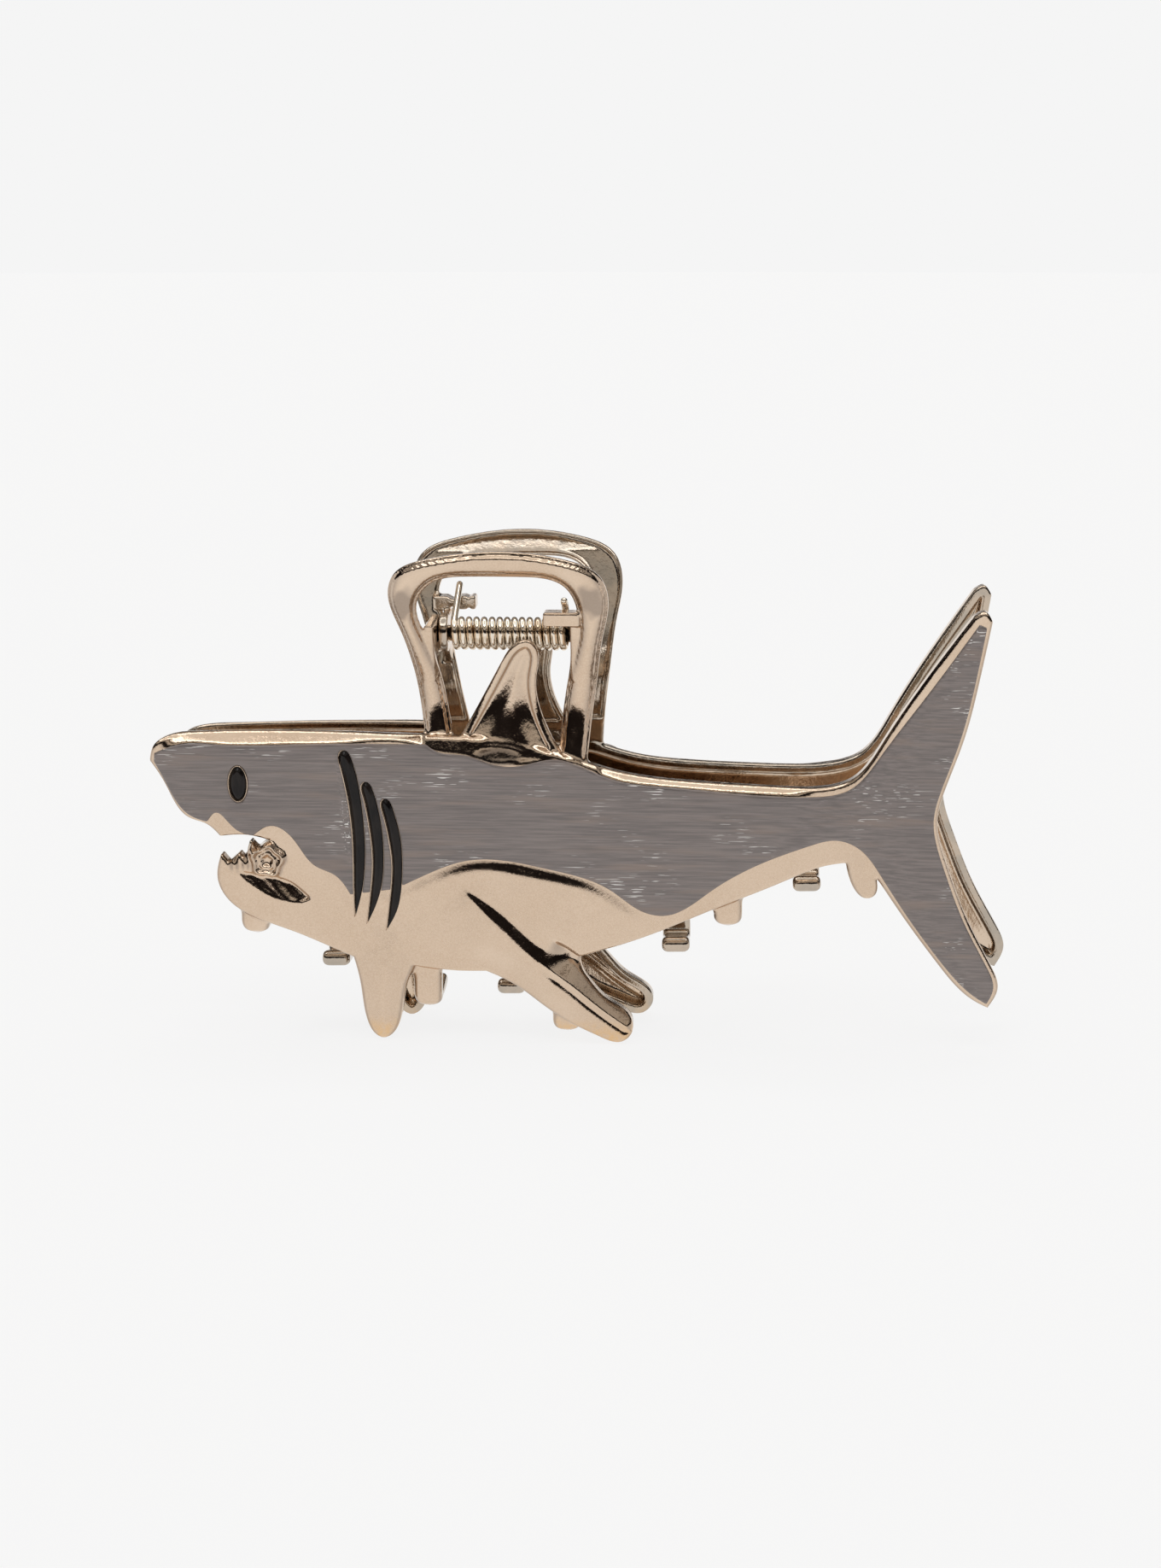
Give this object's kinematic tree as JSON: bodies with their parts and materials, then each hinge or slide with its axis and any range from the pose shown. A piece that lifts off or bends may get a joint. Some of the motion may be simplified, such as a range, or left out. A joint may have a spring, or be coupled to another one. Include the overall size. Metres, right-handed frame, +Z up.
{
  "type": "claw hair clip",
  "caption": "Sprung metal claw hair clip with two shark-shaped jaws, grey and black enamel, interlocking teeth and a finger loop on each half.",
  "frame": {"origin": "under the middle of the closed clip's box, on the plane of the fin tips that it stands on", "axes": "+X from the nose to the tail, along the hinge pin; -Y towards the front half; +Z up, towards the finger loops"},
  "size_m": [0.1067, 0.0258, 0.0621],
  "materials": {
    "plated_casting": "champagne nickel plate on zinc alloy",
    "steel_pin": "plated steel",
    "spring_wire": "plated spring steel wire",
    "grey_enamel": "grey enamel with brushed streaks",
    "black_enamel": "gloss black enamel"
  },
  "bodies": {
    "front_half": {"front_casting": "plated_casting", "hinge_pin": "steel_pin", "torsion_spring": "spring_wire", "front_grey_enamel": "grey_enamel", "front_eye_enamel": "black_enamel", "front_gill_1_enamel": "black_enamel", "front_gill_2_enamel": "black_enamel", "front_gill_3_enamel": "black_enamel"},
    "rear_half": {"rear_casting": "plated_casting", "rear_grey_enamel": "grey_enamel", "rear_eye_enamel": "black_enamel", "rear_gill_1_enamel": "black_enamel", "rear_gill_2_enamel": "black_enamel", "rear_gill_3_enamel": "black_enamel"}
  },
  "joints": [
    {"name": "jaw", "type": "hinge", "parent": "front_half", "child": "rear_half", "pos_m": [-0.0102, 0, 0.05052], "axis": [1, 0, 0], "range_deg": [0, 60], "stiffness_Nm_per_rad": 0.036, "springref_deg": -34.38, "deforming": ["torsion_spring"]}
  ]
}
